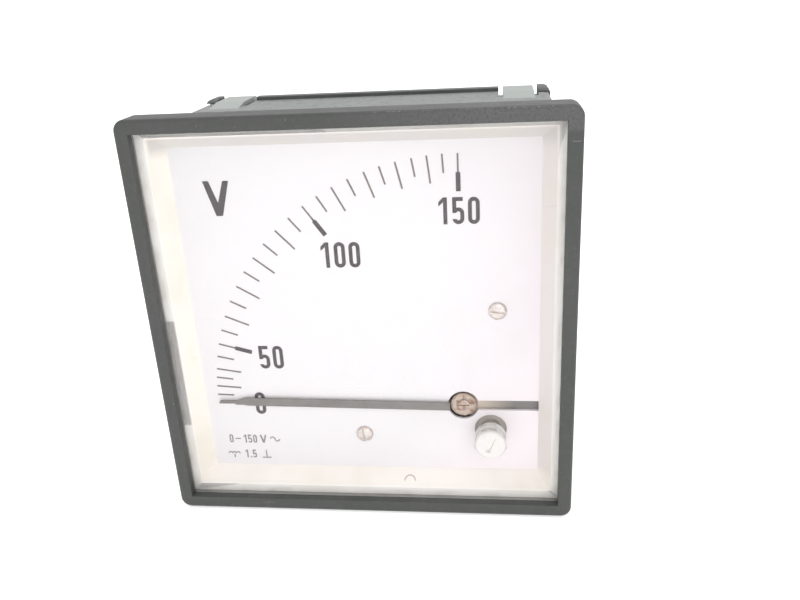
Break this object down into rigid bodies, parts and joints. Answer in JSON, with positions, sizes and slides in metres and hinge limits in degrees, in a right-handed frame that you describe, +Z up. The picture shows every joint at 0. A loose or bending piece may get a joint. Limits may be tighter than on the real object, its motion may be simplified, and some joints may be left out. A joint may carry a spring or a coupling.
{
  "type": "analog panel meter",
  "caption": "Square analog panel meter with a quarter-circle scale, a long pointer, a zero adjuster and a moving-iron movement in a snap-together case.",
  "frame": {"origin": "centre of the bezel's rear face, which lies on the panel", "axes": "+X to the right and +Z up seen from the front, +Y from the front to the back, into the panel"},
  "size_m": [0.096, 0.0694, 0.096],
  "materials": {
    "frame_plastic": "moulded dark grey-green thermoplastic, slightly glossy, scuffed edges",
    "case_plastic": "moulded dark grey glass-filled plastic, fine matt",
    "clear_glass": "clear, polished",
    "cream_plastic": "off-white moulding, aged a little yellow",
    "white_plastic": "white moulding, smooth",
    "dial_white": "white lacquer on sheet aluminium, matt",
    "dial_ink": "dark grey printing ink, matt",
    "pointer_paint": "dark grey lacquer, matt",
    "steel": "zinc-plated steel",
    "iron": "soft nickel iron, annealed",
    "brass": "turned brass",
    "bearing_bronze": "brown bronze",
    "copper_wire": "enamelled copper winding under varnish",
    "bright_aluminium": "rolled sheet",
    "former_plastic": "natural moulding",
    "board_laminate": "brown paper laminate",
    "resistor_coat": "green cement coat",
    "jewel": "synthetic ruby",
    "wire_red": "insulation",
    "wire_black": "insulation",
    "wire_blue": "insulation",
    "magnet": "sintered, ground faces"
  },
  "bodies": {
    "housing": {"bezel": "frame_plastic", "window": "clear_glass", "mask": "cream_plastic", "dial_plate": "dial_white", "dial_print": "dial_ink", "dial_screw_upper": "steel", "dial_screw_lower": "steel", "case": "case_plastic", "rear_cover": "case_plastic", "front_bridge": "bearing_bronze", "bridge_screws": "steel", "front_bearing_screw": "bearing_bronze", "front_jewel": "jewel", "front_plate": "steel", "dial_pillar_upper": "brass", "dial_pillar_lower": "brass", "frame_pillars": "brass", "base_plate": "case_plastic", "rear_bearing_screw": "brass", "rear_jewel": "jewel", "movement_screws": "steel", "coil_former": "former_plastic", "coil_winding": "copper_wire", "coil_pins": "brass", "fixed_iron": "iron", "brake_yoke": "steel", "brake_magnets": "magnet", "resistor_board": "board_laminate", "board_screws": "steel", "series_resistor": "resistor_coat", "coil_lead": "wire_red", "link_lead": "wire_black", "resistor_lead": "wire_blue", "terminal_stud_left": "brass", "terminal_stud_right": "brass", "solder_lug_left": "steel", "solder_lug_right": "steel", "terminal_washers": "brass", "terminal_nuts": "brass"},
    "adjuster": {"zero_adjuster": "white_plastic"},
    "lever": {"zero_lever": "brass"},
    "pointer_assembly": {"spindle": "steel", "pointer": "pointer_paint", "balance_cross": "brass", "balance_weights": "brass", "moving_iron": "iron", "iron_carrier": "cream_plastic", "damping_vane": "bright_aluminium", "vane_hub": "brass", "spring_collet": "brass", "hairspring": "bearing_bronze"}
  },
  "joints": [
    {"name": "zero_screw_turn", "type": "hinge", "parent": "housing", "child": "adjuster", "pos_m": [0.02925, 0, -0.02925], "axis": [0, 1, 0], "range_deg": [-40, 40]},
    {"name": "zero_lever_turn", "type": "hinge", "parent": "housing", "child": "lever", "pos_m": [0.02285, 0, -0.02285], "axis": [0, 1, 0], "range_deg": [-6, 6]},
    {"name": "pointer_swing", "type": "hinge", "parent": "lever", "child": "pointer_assembly", "pos_m": [0.02285, 0, -0.02285], "axis": [0, 1, 0], "range_deg": [-4, 91], "stiffness_Nm_per_rad": 0.0001, "deforming": ["hairspring"]}
  ],
  "couplings": [
    {"joint": "zero_lever_turn", "follows": "zero_screw_turn", "ratio": 0.14623}
  ]
}
